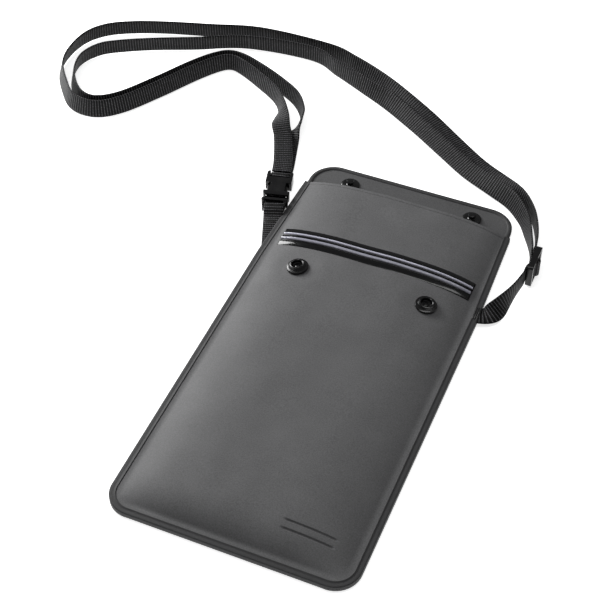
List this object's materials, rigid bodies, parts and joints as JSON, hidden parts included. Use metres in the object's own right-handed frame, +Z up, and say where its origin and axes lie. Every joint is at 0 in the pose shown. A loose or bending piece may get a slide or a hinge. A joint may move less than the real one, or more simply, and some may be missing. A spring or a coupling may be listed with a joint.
{
  "type": "neck pouch wallet",
  "caption": "Flat padded neck pouch with a fold-over snap top, a press-to-close seal across its front, and a doubled webbing neck strap with a side-release buckle and a slide adjuster.",
  "frame": {"origin": "on the table under the middle of the pouch, which lies on its back; the neck strap is left out of that middle", "axes": "+X across the pouch towards the side with the slide adjuster, +Y from the bottom edge to the mouth, +Z up, out of the front"},
  "size_m": [0.2974, 0.3275, 0.0128],
  "materials": {
    "shell": "matte",
    "lining": "matte",
    "rim": "matte",
    "seal": "gloss",
    "snap": "gloss",
    "hardware": "gloss",
    "webbing": "matte",
    "thread": "matte"
  },
  "bodies": {
    "pouch": {"back_panel": "shell", "pocket_divider": "lining", "front_lower_panel": "shell", "front_upper_panel": "shell", "front_rim": "rim", "seal_upper_track": "seal", "left_snap_socket": "snap", "right_snap_socket": "snap", "left_socket_rivet": "snap", "right_socket_rivet": "snap", "left_tab": "webbing", "left_tab_stitching": "thread", "buckle_male": "hardware", "outer_leg_start": "webbing", "outer_leg": "webbing", "outer_leg_end": "webbing", "inner_leg_start": "webbing", "inner_leg": "webbing", "inner_leg_end": "webbing", "right_strap": "webbing", "right_strap_stitching": "thread"},
    "flap": {"back_flap": "shell", "front_flap_panel": "shell", "flap_rims": "rim", "flap_edge": "rim", "left_snap_stud": "snap", "right_snap_stud": "snap", "left_snap_cap": "snap", "right_snap_cap": "snap"},
    "seal_lower": {"seal_lower_track": "seal"},
    "buckle_upper": {"buckle_female": "hardware", "buckle_loop": "webbing"},
    "left_prong": {"left_prong": "hardware"},
    "right_prong": {"right_prong": "hardware"},
    "adjuster": {"slide_adjuster": "hardware", "adjuster_loop": "webbing", "adjuster_weave": "webbing"}
  },
  "joints": [
    {"name": "top_fold", "type": "hinge", "parent": "pouch", "child": "flap", "pos_m": [0, 0.07375, 0.0066], "axis": [1, 0, 0], "range_deg": [0, 180], "deforming": ["front_flap_panel"]},
    {"name": "seal_open", "type": "slide", "parent": "pouch", "child": "seal_lower", "axis": [0, 0, 1], "range_m": [0, 0.0015]},
    {"name": "buckle_release", "type": "slide", "parent": "pouch", "child": "buckle_upper", "axis": [-0.2504, 0.9681, 0], "range_m": [0, 0.014], "deforming": ["outer_leg_start", "inner_leg_start"]},
    {"name": "right_prong_flex", "type": "hinge", "parent": "pouch", "child": "right_prong", "pos_m": [-0.05953, 0.08296, 0.003], "axis": [0, 0, 1], "range_deg": [0, 8], "stiffness_Nm_per_rad": 0.005},
    {"name": "left_prong_flex", "type": "hinge", "parent": "pouch", "child": "left_prong", "pos_m": [-0.06776, 0.08083, 0.003], "axis": [0, 0, 1], "range_deg": [-8, 0], "stiffness_Nm_per_rad": 0.005},
    {"name": "adjuster_slide", "type": "slide", "parent": "pouch", "child": "adjuster", "axis": [0, 1, 0], "range_m": [-0.006, 0.006], "deforming": ["outer_leg_end", "inner_leg_end", "right_strap"]}
  ],
  "couplings": [
    {"joint": "left_prong_flex", "follows": "right_prong_flex", "ratio": -1}
  ]
}
